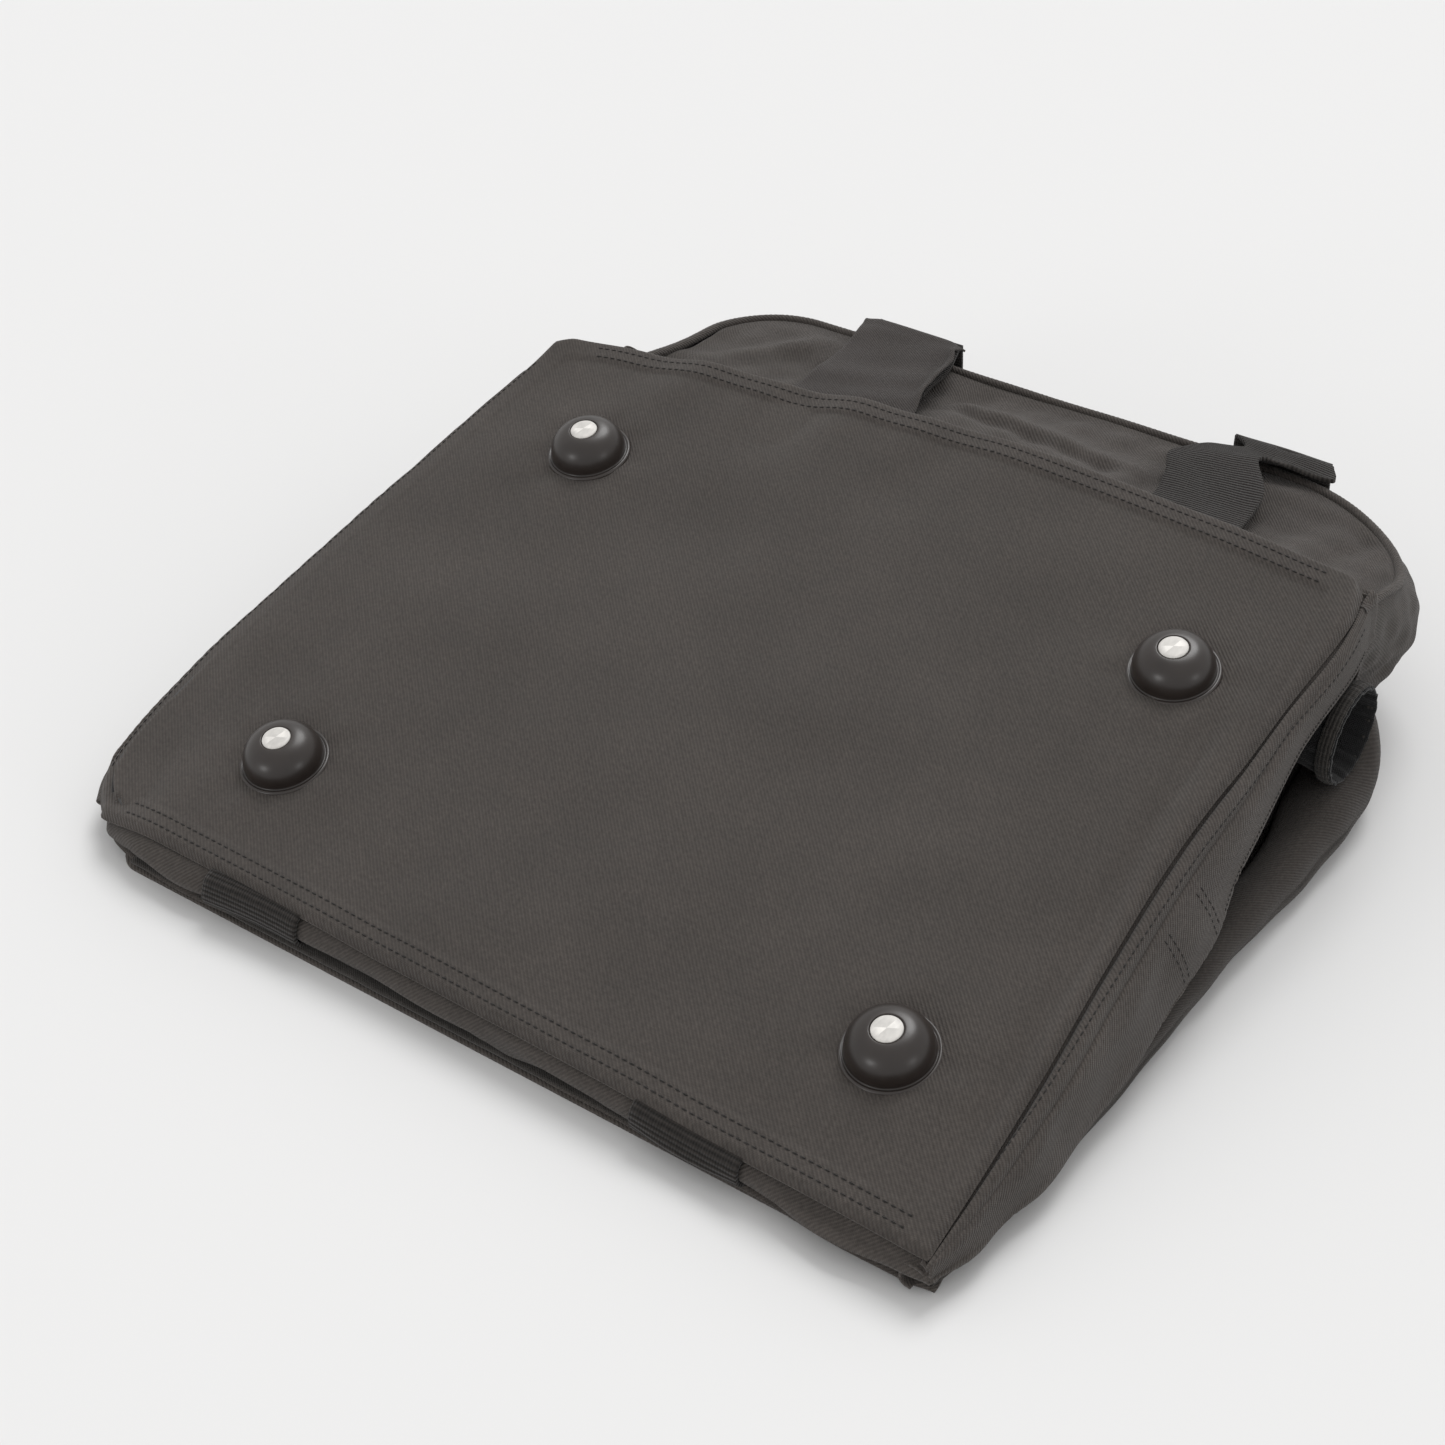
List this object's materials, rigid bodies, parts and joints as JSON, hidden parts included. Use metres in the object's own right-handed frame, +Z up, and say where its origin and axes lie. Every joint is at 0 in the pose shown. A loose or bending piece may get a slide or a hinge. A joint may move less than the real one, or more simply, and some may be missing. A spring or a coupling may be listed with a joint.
{
  "type": "film changing bag",
  "caption": "Soft light-tight bag with a studded stiff base, webbing handles, arm sleeves and an inner zipped bag, shown collapsed and lying upside down.",
  "frame": {"origin": "on the floor, under the middle of the four feet, on the outside of the top panel that the bag lies on", "axes": "+Z up from the floor, +X along the long edge of the base, +Y from the low front edge of the base to its high back edge"},
  "size_m": [0.463, 0.4896, 0.1095],
  "materials": {
    "canvas": "matt woven twill, dark warm grey",
    "lining": "matt black light-tight lining",
    "binding": "matt woven tape and covered cord",
    "webbing": "ribbed woven webbing, near black",
    "board": "plain matt stiffener",
    "foot_plastic": "dark brown, satin gloss",
    "rivet": "pale matt rivet",
    "elastic": "gathered elastic band",
    "zip_tape": "black knitted zip tape",
    "zip_coil": "black nylon coil",
    "slider": "dark coated metal"
  },
  "bodies": {
    "bag": {"top_panel": "canvas", "top_lining": "lining", "front_binding": "binding", "back_gusset": "canvas", "piping_upper": "binding", "piping_lower": "binding", "side_roll_left": "canvas", "side_roll_right": "canvas", "side_wall_left": "canvas", "side_wall_right": "canvas", "front_wall": "canvas", "back_wall": "canvas", "strap_back_left": "webbing", "strap_back_right": "webbing", "strap_sheath": "canvas", "strap_front_left": "webbing", "strap_front_right": "webbing", "inner_bag": "lining", "outer_zip_tape": "zip_tape", "outer_zip_coil": "zip_coil", "outer_zip_stops": "zip_coil", "inner_zip_tape": "zip_tape", "inner_zip_coil": "zip_coil", "inner_zip_stops": "zip_coil"},
    "base": {"base_cover": "canvas", "base_board": "board", "base_lining": "lining", "base_seam_tape": "binding", "foot_front_left": "foot_plastic", "foot_front_right": "foot_plastic", "foot_back_left": "foot_plastic", "foot_back_right": "foot_plastic", "foot_rivets": "rivet", "foot_washers": "rivet"},
    "handle_back": {"handle_back_webbing": "webbing", "handle_back_grip": "canvas"},
    "handle_front": {"handle_front_webbing": "webbing", "handle_front_cover": "canvas"},
    "sleeve_left": {"sleeve_left": "lining", "cuff_elastic_left": "elastic"},
    "sleeve_right": {"sleeve_right": "lining", "cuff_elastic_right": "elastic"},
    "outer_slider": {"outer_zip_slider": "slider"},
    "outer_pull": {"outer_zip_pull": "slider"},
    "inner_slider": {"inner_zip_slider": "slider"},
    "inner_pull": {"inner_zip_pull": "slider"}
  },
  "joints": [
    {"name": "base_lift", "type": "slide", "parent": "bag", "child": "base", "axis": [0, 0, 1], "range_m": [0, 0.16], "deforming": ["side_wall_left", "side_wall_right", "front_wall", "back_wall", "strap_back_left", "strap_back_right", "strap_sheath", "strap_front_left", "strap_front_right"]},
    {"name": "handle_back_swing", "type": "hinge", "parent": "bag", "child": "handle_back", "pos_m": [0, 0.30667, 0.0875], "axis": [1, 0, 0], "range_deg": [0, 160]},
    {"name": "handle_front_pull", "type": "slide", "parent": "bag", "child": "handle_front", "axis": [0, -1, 0], "range_m": [0, 0.09]},
    {"name": "sleeve_left_pull", "type": "slide", "parent": "bag", "child": "sleeve_left", "axis": [-1, 0, 0], "range_m": [0, 0.1]},
    {"name": "sleeve_right_pull", "type": "slide", "parent": "bag", "child": "sleeve_right", "axis": [1, 0, 0], "range_m": [0, 0.1]},
    {"name": "outer_zip_slide", "type": "slide", "parent": "bag", "child": "outer_slider", "axis": [1, 0, 0], "range_m": [0, 0.266]},
    {"name": "outer_pull_swing", "type": "hinge", "parent": "outer_slider", "child": "outer_pull", "pos_m": [-0.133, 0.29977, 0.0527], "axis": [1, 0, 0], "range_deg": [0, 120]},
    {"name": "inner_zip_slide", "type": "slide", "parent": "bag", "child": "inner_slider", "axis": [-1, 0, 0], "range_m": [0, 0.186]},
    {"name": "inner_pull_swing", "type": "hinge", "parent": "inner_slider", "child": "inner_pull", "pos_m": [0.093, 0.03345, 0.0187], "axis": [-1, 0, 0], "range_deg": [0, 120]}
  ]
}
